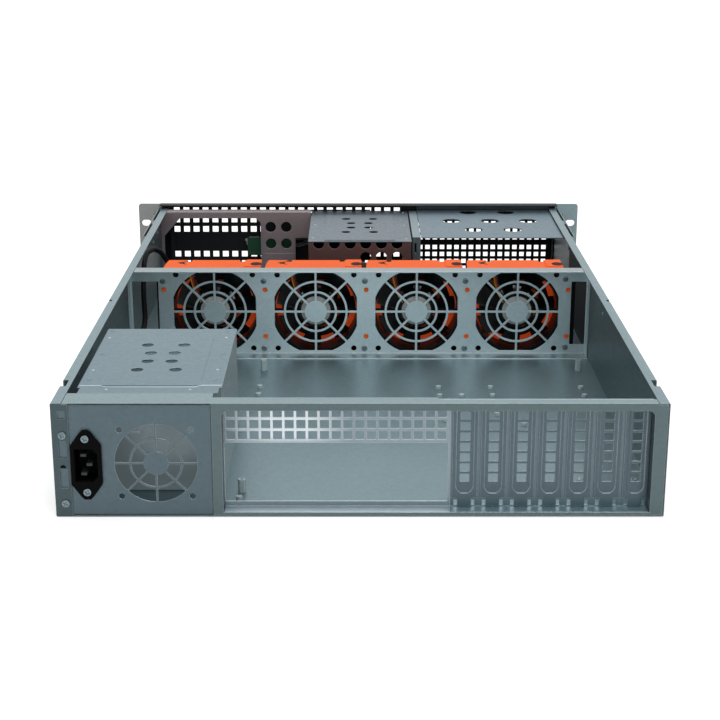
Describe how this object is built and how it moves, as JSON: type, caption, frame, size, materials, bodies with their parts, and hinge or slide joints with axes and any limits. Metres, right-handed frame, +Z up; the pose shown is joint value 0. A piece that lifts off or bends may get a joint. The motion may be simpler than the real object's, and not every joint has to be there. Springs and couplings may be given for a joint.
{
  "type": "rackmount server case",
  "caption": "Empty rackmount server case with the lid off, its fan wall, drive cages and expansion slot covers in place.",
  "frame": {"origin": "middle of the tray's underside", "axes": "+X right seen from the rear, +Y towards the front panel, +Z up"},
  "size_m": [0.4826, 0.6956, 0.0889],
  "materials": {
    "galvanised_steel": "satin",
    "bracket_steel": "satin",
    "ear_steel": "satin",
    "black_steel": "satin",
    "orange_plastic": "satin",
    "black_plastic": "gloss",
    "grey_plastic": "satin",
    "black_rubber": "matte",
    "copper_wire": "satin",
    "screw_steel": "polished",
    "board_green": "satin"
  },
  "bodies": {
    "case": {"bay_plate": "galvanised_steel", "case_screws": "screw_steel", "chassis_tray": "galvanised_steel", "connector_panel": "galvanised_steel", "divider_channel": "galvanised_steel", "ear_left": "ear_steel", "ear_right": "ear_steel", "fan_wall": "galvanised_steel", "floor_bosses": "screw_steel", "front_board": "board_green", "front_cage": "bracket_steel", "front_cage_cover": "galvanised_steel", "front_panel": "black_steel", "guide_rail_1": "orange_plastic", "guide_rail_2": "orange_plastic", "guide_rail_3": "orange_plastic", "guide_rail_4": "orange_plastic", "guide_rail_5": "orange_plastic", "handle_left": "ear_steel", "handle_right": "ear_steel", "inlet_contacts": "screw_steel", "inlet_plate": "galvanised_steel", "power_inlet": "black_plastic", "power_lead": "black_rubber", "power_lead_connector": "black_plastic", "rear_cage": "galvanised_steel", "rear_cage_cover": "galvanised_steel", "rear_frame": "galvanised_steel", "slot_cover_1": "galvanised_steel", "slot_cover_2": "galvanised_steel", "slot_cover_3": "galvanised_steel", "slot_cover_4": "galvanised_steel", "slot_cover_5": "galvanised_steel", "slot_cover_6": "galvanised_steel", "slot_cover_7": "galvanised_steel", "slot_panel": "galvanised_steel", "standoffs": "screw_steel", "supply_bracket": "bracket_steel", "usb_sockets": "screw_steel"},
    "carrier_1": {"fan_carrier_1": "orange_plastic", "fan_frame_1": "black_plastic", "fan_lead_1": "copper_wire"},
    "rotor_1": {"fan_rotor_1": "black_plastic"},
    "carrier_2": {"fan_carrier_2": "orange_plastic", "fan_frame_2": "black_plastic", "fan_lead_2": "copper_wire"},
    "rotor_2": {"fan_rotor_2": "black_plastic"},
    "carrier_3": {"fan_carrier_3": "orange_plastic", "fan_frame_3": "black_plastic", "fan_lead_3": "copper_wire"},
    "rotor_3": {"fan_rotor_3": "black_plastic"},
    "carrier_4": {"fan_carrier_4": "orange_plastic", "fan_frame_4": "black_plastic", "fan_lead_4": "copper_wire"},
    "rotor_4": {"fan_rotor_4": "black_plastic"},
    "power_button_body": {"power_button": "grey_plastic"},
    "reset_button_body": {"reset_button": "grey_plastic"}
  },
  "joints": [
    {"name": "carrier_1_lift", "type": "slide", "parent": "case", "child": "carrier_1", "axis": [0, 0, 1], "range_m": [0, 0.085]},
    {"name": "rotor_1_spin", "type": "hinge", "parent": "carrier_1", "child": "rotor_1", "pos_m": [-0.1352, 0.071, 0.0428], "axis": [0, 1, 0], "continuous": true},
    {"name": "carrier_2_lift", "type": "slide", "parent": "case", "child": "carrier_2", "axis": [0, 0, 1], "range_m": [0, 0.085]},
    {"name": "rotor_2_spin", "type": "hinge", "parent": "carrier_2", "child": "rotor_2", "pos_m": [-0.0406, 0.071, 0.0428], "axis": [0, 1, 0], "continuous": true},
    {"name": "carrier_3_lift", "type": "slide", "parent": "case", "child": "carrier_3", "axis": [0, 0, 1], "range_m": [0, 0.085]},
    {"name": "rotor_3_spin", "type": "hinge", "parent": "carrier_3", "child": "rotor_3", "pos_m": [0.054, 0.071, 0.0428], "axis": [0, 1, 0], "continuous": true},
    {"name": "carrier_4_lift", "type": "slide", "parent": "case", "child": "carrier_4", "axis": [0, 0, 1], "range_m": [0, 0.085]},
    {"name": "rotor_4_spin", "type": "hinge", "parent": "carrier_4", "child": "rotor_4", "pos_m": [0.1486, 0.071, 0.0428], "axis": [0, 1, 0], "continuous": true},
    {"name": "power_button_press", "type": "slide", "parent": "case", "child": "power_button_body", "axis": [0, -1, 0], "range_m": [0, 0.002], "stiffness_N_per_m": 400},
    {"name": "reset_button_press", "type": "slide", "parent": "case", "child": "reset_button_body", "axis": [0, -1, 0], "range_m": [0, 0.002], "stiffness_N_per_m": 400}
  ]
}
